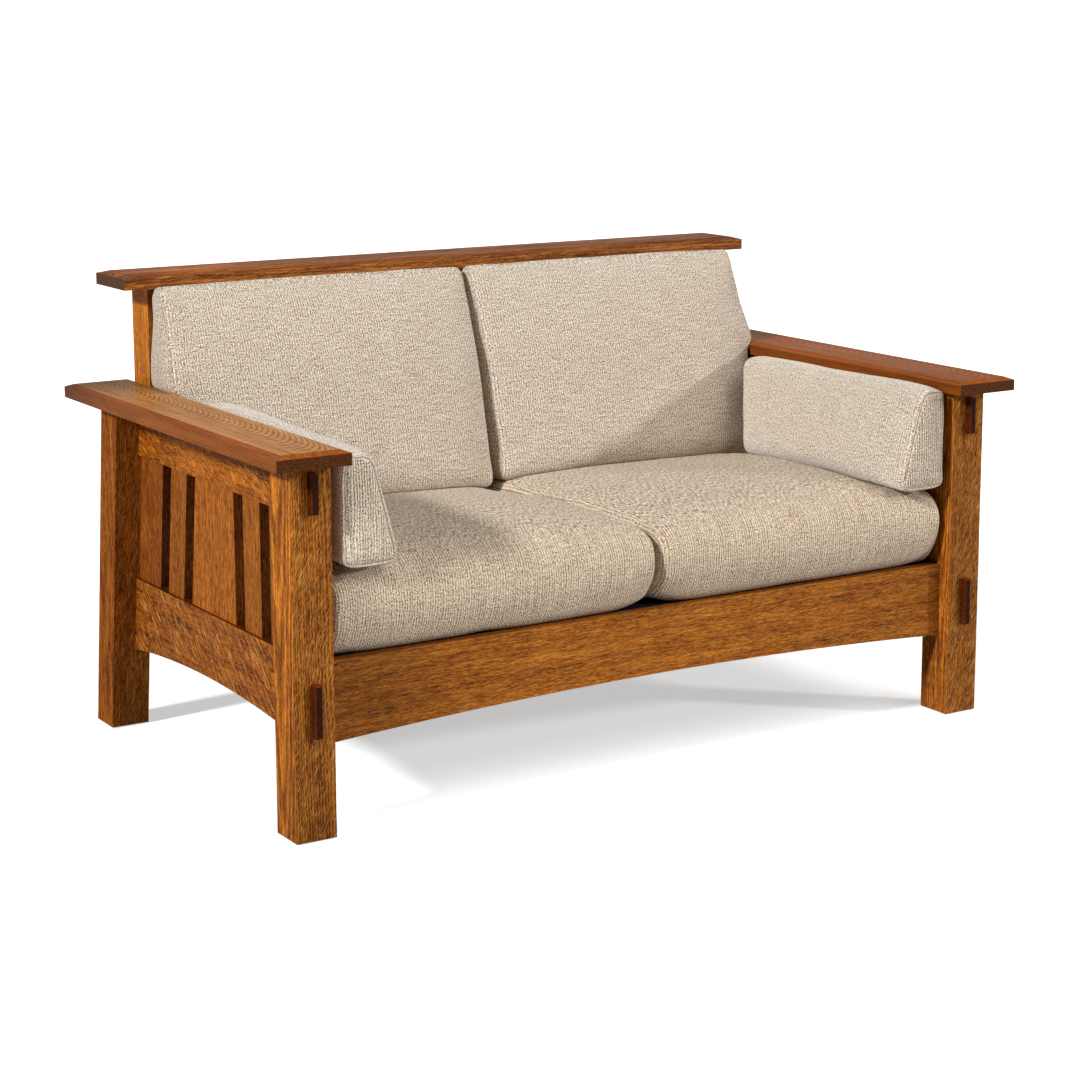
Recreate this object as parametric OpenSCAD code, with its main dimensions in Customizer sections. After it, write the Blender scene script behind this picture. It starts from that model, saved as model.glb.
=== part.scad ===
// Two-seat settee with a slatted oak frame, loose seat and back cushions
// and a loose wedge cushion inside each arm.
// +X is the sitter's left to right seen from the front, -Y is the front, +Z is up.
// The origin is on the floor, in the middle of the footprint. Millimetres.

/* [Overall] */
// Width over the arm caps
total_w = 1524; // [1460:2:1640]
// Depth, front of the arm caps to the back of the crest cap
total_d = 894; // [880:2:940]

/* [Arm caps] */
// Width of an arm cap board
arm_w = 132; // [126:1:138]
// How far the crest cap's back edge lies behind the arm caps
arm_short = 8; // [0:1:16]
// Height of the underside of the arm caps above the floor
arm_z = 622; // [612:1:640]
// Thickness of the square edge of an arm cap
arm_edge = 20; // [16:1:24]
// Width of the bevel round the top of an arm cap
arm_bevel_w = 14; // [8:1:20]
// Height of the bevel round the top of an arm cap
arm_bevel_h = 5.5; // [3:0.5:8]
// How far an arm cap stands out past the front posts' outer faces
arm_over = 41; // [36:1:45]

/* [Posts and legs] */
// Side of the square front posts and back legs
post = 72; // [66:1:76]
// Distance the front posts stand back from the front of the arm caps
post_back = 38.5; // [34:0.5:44]
// Backward rake of each back leg, from the arm cap down to the floor
leg_rake = 72; // [60:1:80]
// Front face of a back leg at the arm cap, ahead of the crest cap's back edge
leg_front = 155; // [150:1:160]
// Height of the nail-on glide under each foot
glide_h = 2; // [2:0.5:4]

/* [Rails] */
// Thickness of the front and rear seat rails
rail_t = 22; // [18:1:24]
// Thickness of the side rails and arm rails
side_t = 26; // [26:1:28]
// Height of the top edge of the seat rails
rail_top = 290; // [284:1:294]
// Height of the bottom edge of the seat rails at their ends
rail_end = 152; // [146:1:158]
// Rise of the arch in the bottom edge of the seat rails
arch = 21.5; // [12:0.5:26]
// Distance the front rail stands back from the front of the posts
front_set = 27; // [22:1:32]
// Distance the side rails stand in from the outer faces of the posts
side_set = 44; // [40:1:44]
// Height of the bottom edge of the arm rails
arm_rail_z = 526; // [516:1:536]
// Length of the stub tenons on the rails
stub = 26; // [16:1:30]

/* [Slats] */
// Thickness of the slats
slat_t = 18; // [12:1:18]
// Width of the narrow slats
narrow_w = 66; // [60:1:70]
// Width of the end slats beside the back legs
end_w = 97; // [92:1:102]
// Gap between two slats
slat_gap = 37; // [34:1:39]
// Depth that each slat is let into the rails
slat_in = 10; // [6:1:12]

/* [Back frame] */
// Length of the crest cap
crest_l = 1379; // [1370:1:1384]
// Depth of the crest cap, front to back
crest_d = 134; // [126:1:138]
// Height of the underside of the crest cap
crest_z = 826; // [820:1:836]
// Thickness of the square edge of the crest cap
crest_edge = 21; // [17:1:24]
// Width of the bevel round the top of the crest cap
crest_bevel_w = 20; // [12:1:24]
// Height of the bevel round the top of the crest cap
crest_bevel_h = 5.5; // [3:0.5:8]
// Width of the back stiles
stile_w = 45; // [38:1:50]
// Depth of the back stiles, front to back
stile_d = 72; // [68:1:76]
// How far the crest cap stands out behind the stiles
crest_over = 24; // [20:1:28]
// Height of the back panel's top rail
back_top_h = 70; // [60:1:80]
// Height of the back panel's bottom rail
back_bot_h = 82; // [70:1:90]

/* [Proud tenon blocks] */
// Width of the tenon blocks let into the front posts
block_w = 14; // [12:1:18]
// How far the tenon blocks stand proud of the posts
block_out = 15; // [10:1:18]
// Depth that the tenon blocks are let into the posts
block_in = 16; // [10:1:20]
// Centre of the tenon blocks, in from the outer faces of the posts
block_at = 37; // [33:1:38]

/* [Cushions] */
// Height of the underside of the seat cushions
seat_z = 291.5; // [291.5:0.5:293]
// Height of the top of the seat cushions at their crown
seat_top = 449; // [444:1:449]
// Height of the top of the seat cushions at their back
seat_back_top = 425; // [420:1:426]
// Front of the seat cushions, behind the front of the arm caps
seat_front = 52; // [48:1:60]
// Half the gap between the left and the right cushions
half_gap = 3; // [2:0.5:5]
// Thickness of the back cushions at the foot
back_foot = 154; // [140:1:158]
// Thickness of the back cushions at the top
back_head = 52; // [46:1:60]
// Height of the top of the back cushions
back_top = 831; // [820:1:836]
// Thickness of the arm cushions at the top
bolster_top_w = 52; // [44:1:60]
// Thickness of the arm cushions at the foot
bolster_foot_w = 93; // [84:1:100]
// Height of the top of the arm cushions
bolster_top = 634; // [624:1:640]

/* [Hidden] */

oak = [0.62, 0.36, 0.16];
oak_dark = [0.50, 0.29, 0.17];
end_grain = [0.24, 0.13, 0.08];
inner_wood = [0.72, 0.58, 0.40];
cloth = [0.80, 0.75, 0.67];
black = [0.06, 0.06, 0.06];
strap = [0.35, 0.33, 0.28];
steel = [0.65, 0.65, 0.66];
nylon = [0.20, 0.18, 0.17];

yf = -total_d/2;                      // front of the arm caps
xo = total_w/2 - arm_over;            // outer faces of the posts
xi = xo - post;                       // inner faces of the posts
py0 = yf + post_back;                 // front faces of the front posts
py1 = py0 + post;                     // rear faces of the front posts
ly0 = total_d/2 - leg_front;          // front of a back leg at the arm cap
xr = xo - side_set;                   // outer faces of the side rails
xq = xr - side_t;                     // inner faces of the side rails
fy0 = py0 + front_set;                // front face of the front rail
fy1 = fy0 + rail_t;                   // rear face of the front rail
ry0 = ly0 + 74;                       // front face of the rear rail
ry1 = ry0 + rail_t;
xa = total_w/2 - arm_w;               // inner edges of the arm caps
sy1 = total_d/2 - crest_over;         // rear faces of the stiles
sy0 = sy1 - stile_d;                  // front faces of the stiles
cr0 = total_d/2 - crest_d;            // front of the crest cap
by0 = cr0 + 2;                        // front face of the back panel, lapped on the stiles
xs = xa - stile_w;                    // inner faces of the stiles
xp = xa - 8;                          // ends of the back panel's rails
block_hi = [543, 609];                // heights of the upper tenon blocks
block_lo = [176, 265];                // heights of the lower tenon blocks
web_z = 284;                          // top of the cleats
clear = 0.4;                          // gap between soft pieces
fit = 0.15;                           // room round dowels, bolts and screws

// front face of a back leg at height z
function leg_y(z) = ly0 + leg_rake*(1 - z/arm_z);
// points of a shallow arch from a to b, ends at z, rising by r
function arch_pts(a, b, z, r, n = 32) =
  [for (i = [0:n]) let (t = i/n, u = 2*t - 1) [a + (b - a)*t, z + r*(1 - u*u)]];

// draws a profile in Y (first) and Z (second), and makes it t wide from x
module side_profile(x, t) {
  translate([x, 0, 0]) rotate([90, 0, 90]) linear_extrude(t) children();
}
// draws a profile in X (first) and Z (second), and makes it t deep from y
module front_profile(y, t) {
  translate([0, y + t, 0]) rotate([90, 0, 0]) linear_extrude(t) children();
}
module box(a, b) { translate(a) cube(b - a); }
module side(s) { if (s > 0) children(); else mirror([1, 0, 0]) children(); }

// a board with a low bevel all round its top, mitred at the corners
module bevelled_board(a, b, edge, bw, bh) {
  z1 = a[2] + edge;
  intersection() {
    front_profile(a[1], b[1] - a[1])
      polygon([[a[0], a[2]], [b[0], a[2]], [b[0], z1], [b[0] - bw, z1 + bh], [a[0] + bw, z1 + bh], [a[0], z1]]);
    side_profile(a[0], b[0] - a[0])
      polygon([[a[1], a[2]], [b[1], a[2]], [b[1], z1], [b[1] - bw, z1 + bh], [a[1] + bw, z1 + bh], [a[1], z1]]);
  }
}
// ---- fixings, drawn for the right side; e is the extra room of their holes ----
module dowel(x, y, z, h, e) { translate([x, y, z - h/2 - e]) cylinder(r = 5 + e, h = h + 2*e, $fn = 32); }
module arm_dowels_r(e = 0) {
  for (d = [-16, 16]) {
    dowel(xo - post/2 + d, (py0 + py1)/2, arm_z, 30, e);
    dowel(xo - post/2 + d, leg_y(arm_z) + post/2, arm_z, 30, e);
  }
}
module crest_dowels_r(e = 0) { for (d = [20, 52]) dowel(xa - stile_w/2, sy0 + d, crest_z, 30, e); }
module rail_dowels(e = 0) { for (x = [-400, 0, 400]) dowel(x, (by0 + sy0)/2, crest_z, 30, e); }
module back_bolts_r(e = 0) {            // stile to back leg, heads on the inside
  for (z = [390, 500]) translate([0, sy0 + 9, z]) rotate([0, 90, 0]) {
    translate([0, 0, xs - 3]) cylinder(r = 7, h = 3, $fn = 32);
    translate([0, 0, xs - 1]) cylinder(r = 3.5 + e, h = xo - 14 - xs + 1 + e, $fn = 32);
  }
}
module wood_screw(len, e) {             // countersunk, head at the origin, pointing along +Y
  rotate([-90, 0, 0]) {
    translate([0, 0, -e]) cylinder(r = 4.2 + e, h = 2.5 + e, $fn = 32);
    cylinder(r = 2.2 + e, h = len + e, $fn = 32);
  }
}
panel_screw_z = [rail_top + 22, rail_top + back_bot_h - 22, crest_z - back_top_h + 18, crest_z - 18];
module panel_screws_r(e = 0) {
  for (z = panel_screw_z) translate([xa - stile_w/2, by0, z]) wood_screw(62, e);
}
module block_screws_r(e = 0) {          // through each corner block into each long rail
  translate([xi - 30, fy1 + 30, 235]) mirror([0, 1, 0]) {
    wood_screw(42, e);
    if (e > 0) translate([0, -40, 0]) rotate([-90, 0, 0]) cylinder(r = 5, h = 41, $fn = 32);
  }
  translate([xi - 30, ry0 - 30, 235]) {
    wood_screw(42, e);
    if (e > 0) translate([0, -40, 0]) rotate([-90, 0, 0]) cylinder(r = 5, h = 41, $fn = 32);
  }
}

// ---- frame, drawn for the right side ----
module side_stub(y0, y1, z0, z1) {      // stub tenon of a side rail
  box([xr - 17, y0, z0], [xr - 5, y1, z1]);
}
lo_stub = [rail_end + 22, rail_top - 22];
hi_stub = [arm_rail_z + 14, arm_z - 14];
fr_stub = [rail_end + 30, rail_top - 30];

module front_post_r() {
  color(oak) difference() {
    box([xi, py0, glide_h], [xo, py1, arm_z]);
    // blind mortises for the rails and the tenon blocks
    side_stub(py1 - stub, py1 + 1, lo_stub[0], lo_stub[1]);
    side_stub(py1 - stub, py1 + 1, hi_stub[0], hi_stub[1]);
    box([xi - 1, fy0 + 5, fr_stub[0]], [xi + stub, fy0 + 17, fr_stub[1]]);
    for (z = [block_hi, block_lo])
      box([xo - block_at - block_w/2, py0 - 1, z[0]], [xo - block_at + block_w/2, py0 + block_in, z[1]]);
    arm_dowels_r(fit);
  }
}
module back_leg_r() {
  color(oak) difference() {
    side_profile(xi, post) polygon([[leg_y(glide_h), glide_h], [leg_y(glide_h) + post, glide_h],
      [leg_y(arm_z) + post, arm_z], [leg_y(arm_z), arm_z]]);
    side_stub(ly0 - 20, leg_y(lo_stub[1]) + stub, lo_stub[0], lo_stub[1]);
    side_stub(ly0 - 20, leg_y(hi_stub[1]) + stub, hi_stub[0], hi_stub[1]);
    box([xi - 1, ry0 + 5, fr_stub[0]], [xi + stub, ry0 + 17, fr_stub[1]]);
    arm_dowels_r(fit);
    back_bolts_r(fit);
  }
}
module arm_cap_r() {
  color(oak_dark) difference() {
    bevelled_board([xa, yf, arm_z], [total_w/2, total_d/2 - arm_short, arm_z], arm_edge, arm_bevel_w, arm_bevel_h);
    arm_dowels_r(fit);
  }
}
module slat_hole(p) {                   // mortise for a slat, from its outline
  side_profile(xr - 6 - slat_t, slat_t) polygon(p);
}
module arm_rail_r() {
  color(oak) difference() {
    union() {
      side_profile(xq, side_t) polygon([[py1, arm_rail_z], [leg_y(arm_rail_z), arm_rail_z],
        [leg_y(arm_z), arm_z], [py1, arm_z]]);
      side_stub(py1 - stub, py1 + 1, hi_stub[0], hi_stub[1]);
      side_stub(leg_y(hi_stub[1]) - 2, leg_y(hi_stub[1]) + stub, hi_stub[0], hi_stub[1]);
    }
    for (k = [0:4]) slat_hole(slat_pts(k, rail_top - slat_in, arm_rail_z + slat_in));
  }
}
module side_rail_r() {
  color(oak) difference() {
    union() {
      side_profile(xq, side_t) polygon(concat(arch_pts(py1, leg_y(rail_end), rail_end, arch),
        [[leg_y(rail_top), rail_top], [py1, rail_top]]));
      side_stub(py1 - stub, py1 + 1, lo_stub[0], lo_stub[1]);
      side_stub(leg_y(lo_stub[1]) - 8, leg_y(lo_stub[1]) + stub, lo_stub[0], lo_stub[1]);
    }
    for (k = [0:4]) slat_hole(slat_pts(k, rail_top - slat_in, arm_rail_z + slat_in));
  }
}

// Slat outlines in Y and Z. 0 end slat at the leg, 1 narrow, 2 centre, 3 narrow, 4 end slat at the post.
// The rear edges lean with the back leg, and the front ones are upright.
function lean(d, z) = leg_y(z) - d;
g1 = end_w; g2 = g1 + slat_gap; g3 = g2 + narrow_w; g4 = g3 + slat_gap;
f4 = 110; f3 = f4 + slat_gap; f2 = f3 + narrow_w - 2; f1 = f2 + slat_gap;
function slat_pts(k, z0, z1) =
  k == 0 ? [[lean(g1, z0), z0], [lean(0, z0), z0], [lean(0, z1), z1], [lean(g1, z1), z1]] :
  k == 1 ? [[lean(g3, z0), z0], [lean(g2, z0), z0], [lean(g2, z1), z1], [lean(g3, z1), z1]] :
  k == 2 ? [[py1 + f1, z0], [lean(g4, z0), z0], [lean(g4, z1), z1], [py1 + f1, z1]] :
  k == 3 ? [[py1 + f3, z0], [py1 + f2, z0], [py1 + f2, z1], [py1 + f3, z1]] :
           [[py1, z0], [py1 + f4, z0], [py1 + f4, z1], [py1, z1]];
module slat_r(k) {
  color(oak) side_profile(xr - 6 - slat_t, slat_t) polygon(slat_pts(k, rail_top - slat_in, arm_rail_z + slat_in));
}
module tenon_blocks_r() {               // proud blocks with their edges eased
  y0 = py0 - block_out; y1 = py0 + block_in; w = block_w/2; c = 2;
  for (z = [block_hi, block_lo]) color(end_grain) translate([xo - block_at, 0, 0]) intersection() {
    side_profile(-w, 2*w) polygon([[y0, z[0] + c], [y0 + c, z[0]], [y1, z[0]], [y1, z[1]], [y0 + c, z[1]], [y0, z[1] - c]]);
    translate([0, 0, z[0] - 1]) linear_extrude(z[1] - z[0] + 2)
      polygon([[-w, y1], [-w, y0 + c], [-w + c, y0], [w - c, y0], [w, y0 + c], [w, y1]]);
  }
}
module back_spacer_r() {
  color(inner_wood) difference() {
    box([xa, sy0, 330], [xi, sy0 + 17, 560]);
    back_bolts_r(fit);
  }
}
module back_stile_r() {
  color(oak) difference() {
    box([xs, sy0, rail_top], [xa, sy1, crest_z]);
    crest_dowels_r(fit);
    back_bolts_r(fit);
    panel_screws_r(fit);
  }
}

// ---- parts that span the settee ----
module long_rail(y, zf) {               // arched rail between the posts, with stub tenons
  color(oak) union() {
    front_profile(y, rail_t) polygon(concat(arch_pts(-xi, xi, rail_end, arch, 48), [[xi, rail_top], [-xi, rail_top]]));
    for (s = [-1, 1]) side(s) box([xi - 1, y + 5, fr_stub[0]], [xi + stub, y + 17, fr_stub[1]]);
  }
}
module front_rail() {
  difference() {
    long_rail(fy0);
    box([-8, fy1 - 6, 206], [8, fy1 + 1, 256]);
    for (s = [-1, 1]) side(s) block_screws_r(fit);
  }
}
module rear_rail() {
  difference() {
    long_rail(ry0);
    box([-8, ry0 - 1, 206], [8, ry0 + 6, 256]);
    for (s = [-1, 1]) side(s) block_screws_r(fit);
  }
}
module seat_brace() {
  color(inner_wood) union() {
    box([-16, fy1, 200], [16, ry0, 262]);
    box([-8, fy1 - 6, 206], [8, ry0 + 6, 256]);
  }
}
module cleat(a, b) { color(inner_wood) box(a, b); }
module seat_cleat_front() { cleat([-xi + 8, fy1, 262], [xi - 8, fy1 + 22, web_z]); }
module seat_cleat_rear() { cleat([-xi + 8, ry0 - 22, 262], [xi - 8, ry0, web_z]); }
module seat_cleat_r() { cleat([xq - 22, fy1 + 30, 262], [xq, leg_y(262) - 12, web_z + 1.8]); }
module corner_blocks() {
  for (s = [-1, 1]) side(s) color(inner_wood) difference() {
    translate([0, 0, 210]) linear_extrude(50) {
      polygon([[xi - 70, fy1], [xi, fy1], [xi, py1], [xq, py1], [xq, py1 + 70]]);
      polygon([[xi - 70, ry0], [xi, ry0], [xi, leg_y(262)], [xq, leg_y(262)], [xq, leg_y(262) - 70]]);
    }
    block_screws_r(fit);
  }
}
module webbing_long() {                 // straps from the front rail to the rear rail
  for (i = [0:7]) let (x = -540 + i*154.2857)
    color(strap) box([x - 25, fy1 + 1, web_z], [x + 25, ry0 - 1, web_z + 1.8]);
}
module webbing_cross() {                // straps from side rail to side rail, over the long ones
  for (i = [0:3]) let (y = -235 + i*155)
    color(strap) box([-xq + 1, y - 25, web_z + 1.8], [xq - 1, y + 25, web_z + 3.6]);
}
module deck_cloth() {
  color(black) box([-xi + 3, fy1 + 1, web_z + 3.6], [xi - 3, ry0 - 1, web_z + 5]);
}
back_ws = [62, 150, 62, 62, 150, 62, 62, 150, 62];   // widths of the back slats
function upto(v, n) = n <= 0 ? 0 : v[n - 1] + upto(v, n - 1);
back_gap = (2*xs - upto(back_ws, 9))/10;
module back_slat_shapes() {
  for (i = [0:8]) let (x = -xs + back_gap*(i + 1) + upto(back_ws, i))
    box([x, by0 + 4, rail_top + back_bot_h - 12], [x + back_ws[i], by0 + 15, crest_z - back_top_h + 12]);
}
module back_rail(z0, z1) {
  color(oak) difference() {
    box([-xp, by0, z0], [xp, sy0, z1]);
    back_slat_shapes();
    rail_dowels(fit);
    for (s = [-1, 1]) side(s) panel_screws_r(fit);
  }
}
module back_top_rail() { back_rail(crest_z - back_top_h, crest_z); }
module back_bottom_rail() { back_rail(rail_top, rail_top + back_bot_h); }
module back_slats() { color(oak) back_slat_shapes(); }
module crest_cap() {
  color(oak_dark) difference() {
    bevelled_board([-crest_l/2, cr0, crest_z], [crest_l/2, total_d/2, crest_z], crest_edge, crest_bevel_w, crest_bevel_h);
    rail_dowels(fit);
    for (s = [-1, 1]) side(s) crest_dowels_r(fit);
  }
}
module back_bolts() { color(steel) for (s = [-1, 1]) side(s) back_bolts_r(); }
module arm_dowels() { color(inner_wood) for (s = [-1, 1]) side(s) arm_dowels_r(); }
module crest_dowels() { color(inner_wood) { for (s = [-1, 1]) side(s) crest_dowels_r(); rail_dowels(); } }
module panel_screws() { color(steel) for (s = [-1, 1]) side(s) panel_screws_r(); }
module block_screws() { color(steel) for (s = [-1, 1]) side(s) block_screws_r(); }
module foot_glides() {
  for (s = [-1, 1]) side(s) color(nylon) {
    translate([xo - post/2, (py0 + py1)/2, 0]) cylinder(r = 14, h = glide_h, $fn = 48);
    translate([xo - post/2, leg_y(glide_h) + post/2, 0]) cylinder(r = 14, h = glide_h, $fn = 48);
  }
}

// ---- cushions, drawn for the right side as plain closed solids ----
cy0 = yf + seat_front;
cyb = by0 - 3;                          // back of the seat cushions
bk1 = cr0 - 2;                          // back face of the back cushions
bz0 = seat_top - 14;                    // underside of the back cushions
module seat_cushion_r() {
  r = 46;
  color(cloth) side_profile(half_gap, xi - 10 - half_gap) polygon(concat(
    [for (i = [0:8]) let (a = 270 - i*90/8) [cy0 + r + r*cos(a), seat_z + r + r*sin(a)]],
    [for (i = [0:8]) let (a = 180 - i*75/8) [cy0 + 62 + 62*cos(a), seat_top - 82 + 62*sin(a)]],
    [[cy0 + 90, seat_top - 8], [cy0 + 170, seat_top], [cy0 + 330, seat_top - 2],
     [cy0 + 500, seat_top - 11.5], [cyb, seat_back_top], [cyb, seat_z]]));
}
module back_cushion_r() {
  f = bk1 - back_foot; h = bk1 - back_head;
  color(cloth) side_profile(half_gap, xa - 3 - half_gap) polygon([
    [f + 14, bz0], [f, bz0 + 16], [f + 32, bz0 + 149], [f + 57, bz0 + 243],
    [h - 9, back_top - 63], [h + 11, back_top - 23], [h + 25, back_top],
    [bk1 - 8, back_top], [bk1, back_top - 10], [bk1, bz0 + 10], [bk1 - 10, bz0]]);
}
module arm_cushion_r() {
  z0 = seat_top + clear; x1 = xa - 2; z1 = bolster_top;
  color(cloth) front_profile(py0 + 2, 545) polygon([
    [x1 - bolster_foot_w, z0 + 8], [x1 - bolster_foot_w + 8, z0], [x1 - 8, z0], [x1, z0 + 8],
    [x1, z1 - 6], [x1 - 6, z1], [x1 - bolster_top_w + 6, z1], [x1 - bolster_top_w - 2, z1 - 6]]);
}

side(-1) front_post_r();  // front_post_left
side(1) front_post_r();  // front_post_right
side(-1) back_leg_r();  // back_leg_left
side(1) back_leg_r();  // back_leg_right
side(-1) arm_cap_r();  // arm_cap_left
side(1) arm_cap_r();  // arm_cap_right
side(-1) arm_rail_r();  // arm_rail_left
side(1) arm_rail_r();  // arm_rail_right
side(-1) side_rail_r();  // side_rail_left
side(1) side_rail_r();  // side_rail_right
side(-1) slat_r(2);  // centre_slat_left
side(-1) slat_r(3);  // narrow_slat_front_left
side(-1) slat_r(1);  // narrow_slat_rear_left
side(-1) slat_r(4);  // end_slat_front_left
side(-1) slat_r(0);  // end_slat_rear_left
side(1) slat_r(2);  // centre_slat_right
side(1) slat_r(3);  // narrow_slat_front_right
side(1) slat_r(1);  // narrow_slat_rear_right
side(1) slat_r(4);  // end_slat_front_right
side(1) slat_r(0);  // end_slat_rear_right
side(-1) tenon_blocks_r();  // tenon_blocks_left
side(1) tenon_blocks_r();  // tenon_blocks_right
front_rail();
rear_rail();
seat_brace();
seat_cleat_front();
seat_cleat_rear();
side(-1) seat_cleat_r();  // seat_cleat_left
side(1) seat_cleat_r();  // seat_cleat_right
corner_blocks();
webbing_long();
webbing_cross();
deck_cloth();
side(-1) back_stile_r();  // back_stile_left
side(1) back_stile_r();  // back_stile_right
back_top_rail();
back_bottom_rail();
back_slats();
panel_screws();
crest_cap();
side(-1) back_spacer_r();  // back_spacer_left
side(1) back_spacer_r();  // back_spacer_right
back_bolts();
arm_dowels();
crest_dowels();
block_screws();
foot_glides();
side(-1) seat_cushion_r();  // seat_cushion_left
side(1) seat_cushion_r();  // seat_cushion_right
side(-1) back_cushion_r();  // back_cushion_left
side(1) back_cushion_r();  // back_cushion_right
side(-1) arm_cushion_r();  // arm_cushion_left
side(1) arm_cushion_r();  // arm_cushion_right
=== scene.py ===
import math
import bpy
import bmesh
import numpy as np
from mathutils import Matrix, Vector, noise
from mathutils.bvhtree import BVHTree


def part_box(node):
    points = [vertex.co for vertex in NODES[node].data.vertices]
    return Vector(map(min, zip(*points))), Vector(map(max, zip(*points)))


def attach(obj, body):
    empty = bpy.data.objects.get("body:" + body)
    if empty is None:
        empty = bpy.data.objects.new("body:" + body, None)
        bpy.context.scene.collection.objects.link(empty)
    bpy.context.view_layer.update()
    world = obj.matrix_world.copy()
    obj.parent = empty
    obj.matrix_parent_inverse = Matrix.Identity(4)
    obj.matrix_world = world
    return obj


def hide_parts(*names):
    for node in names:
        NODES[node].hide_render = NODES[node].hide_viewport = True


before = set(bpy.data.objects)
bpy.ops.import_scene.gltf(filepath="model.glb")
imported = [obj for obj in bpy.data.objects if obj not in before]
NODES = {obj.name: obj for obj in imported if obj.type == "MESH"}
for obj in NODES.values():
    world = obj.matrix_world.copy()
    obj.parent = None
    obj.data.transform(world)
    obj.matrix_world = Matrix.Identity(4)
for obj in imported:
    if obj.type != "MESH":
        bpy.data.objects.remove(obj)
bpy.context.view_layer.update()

scene = bpy.context.scene
rng = np.random.RandomState(7)

# ------------------------------------------------------------------ camera
YAW, PITCH, ROLL = math.radians(-32.36), math.radians(-10.41), math.radians(-0.07)
fwd = Vector((-math.sin(YAW) * math.cos(PITCH), math.cos(YAW) * math.cos(PITCH), math.sin(PITCH)))
right = Vector((math.cos(YAW), math.sin(YAW), 0))
up = right.cross(fwd)
right, up = right * math.cos(ROLL) + up * math.sin(ROLL), up * math.cos(ROLL) - right * math.sin(ROLL)
cam_data = bpy.data.cameras.new("camera")
cam_data.sensor_fit = "HORIZONTAL"
cam_data.sensor_width = 36
cam_data.lens = 82.455
cam_data.shift_x, cam_data.shift_y = -0.0185, -0.0833
cam_data.clip_start, cam_data.clip_end = 0.1, 200
cam = bpy.data.objects.new("camera", cam_data)
m = Matrix((right, up, -fwd)).transposed().to_4x4()
m.translation = Vector((-2.4001, -3.8509, 1.3483))
cam.matrix_world = m
scene.collection.objects.link(cam)
scene.camera = cam


# ------------------------------------------------------------------ shader helpers
class Tree:
    """Short names for the nodes of a material or a node group."""

    def __init__(self, tree):
        self.t, self.n, self.l = tree, tree.nodes, tree.links

    def add(self, kind, **props):
        node = self.n.new(kind)
        for k, v in props.items():
            setattr(node, k, v)
        return node

    def put(self, socket, value):
        if isinstance(value, bpy.types.NodeSocket):
            self.l.new(value, socket)
        elif value is not None:
            socket.default_value = value

    def math(self, op, a, b=None, c=None, clamp=False):
        node = self.add("ShaderNodeMath", operation=op, use_clamp=clamp)
        for s, v in zip(node.inputs, (a, b, c)):
            self.put(s, v)
        return node.outputs[0]

    def vec(self, op, a, b=None, scale=None):
        node = self.add("ShaderNodeVectorMath", operation=op)
        self.put(node.inputs[0], a)
        if b is not None:
            self.put(node.inputs[1], b)
        if scale is not None:
            self.put(node.inputs["Scale"], scale)
        return node.outputs["Value"] if op in ("DOT_PRODUCT", "LENGTH") else node.outputs["Vector"]

    def split(self, v):
        node = self.add("ShaderNodeSeparateXYZ")
        self.put(node.inputs[0], v)
        return node.outputs

    def join(self, x, y, z):
        node = self.add("ShaderNodeCombineXYZ")
        for s, v in zip(node.inputs, (x, y, z)):
            self.put(s, v)
        return node.outputs[0]

    def noise(self, v, scale=1.0, detail=2.0, rough=0.5, distortion=0.0, dims="3D"):
        node = self.add("ShaderNodeTexNoise", noise_dimensions=dims)
        self.put(node.inputs["Vector"], v)
        self.put(node.inputs["Scale"], scale)
        self.put(node.inputs["Detail"], detail)
        self.put(node.inputs["Roughness"], rough)
        self.put(node.inputs["Distortion"], distortion)
        return node.outputs[0]

    def white(self, v, dims="2D"):
        node = self.add("ShaderNodeTexWhiteNoise", noise_dimensions=dims)
        self.put(node.inputs["Vector"], v)
        return node.outputs["Value"]

    def ramp(self, fac, stops, interp="LINEAR"):
        node = self.add("ShaderNodeValToRGB")
        e = node.color_ramp.elements
        node.color_ramp.interpolation = interp
        while len(e) < len(stops):
            e.new(0.5)
        for el, (p, c) in zip(e, stops):
            el.position = p
            el.color = (*c, 1) if len(c) == 3 else c
        self.put(node.inputs[0], fac)
        return node.outputs[0]

    def span(self, v, a, b, c=0.0, d=1.0, smooth=False):
        node = self.add("ShaderNodeMapRange", interpolation_type="SMOOTHSTEP" if smooth else "LINEAR", clamp=True)
        for s, x in zip(node.inputs, (v, a, b, c, d)):
            self.put(s, x)
        return node.outputs[0]

    def mix(self, fac, a, b, blend="MIX"):
        node = self.add("ShaderNodeMix", data_type="RGBA", blend_type=blend)
        self.put(node.inputs[0], fac)
        for s, v in ((node.inputs[6], a), (node.inputs[7], b)):
            self.put(s, (*v, 1) if isinstance(v, tuple) and len(v) == 3 else v)
        return node.outputs[2]


def new_material(name):
    mat = bpy.data.materials.new(name)
    mat.use_nodes = True
    t = Tree(mat.node_tree)
    bsdf = t.n["Principled BSDF"]
    return mat, t, bsdf


def bump(t, bsdf, height, distance, strength=1.0):
    node = t.add("ShaderNodeBump")
    node.inputs["Distance"].default_value = distance
    node.inputs["Strength"].default_value = strength
    t.put(node.inputs["Height"], height)
    t.l.new(node.outputs[0], bsdf.inputs["Normal"])


# ------------------------------------------------------------------ oak
# One group makes the grain. Board space is millimetres from the middle of the board: x along the grain, y and z across it.
# The growth rings are cones about a heart line beside the board, so a face shows straight lines or arches as a sawn face does.
OAK_INPUTS = (("Board", (0, 0, 0)), ("Seed", (0, 0, 0)), ("End", 0.0), ("Fleck", 0.5), ("Lean", 0.5), ("Turn", 0.0), ("Stroke", 1.0), ("Short", 0.6), ("Heart", (0, 0, 0)),
              ("Rise", 0.0), ("Pitch", 3.5), ("Wobble", 6.0), ("Rings", 0.3), ("Fine", 1.0), ("Broad", 1.0), ("Pores", 1.0))


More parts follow.
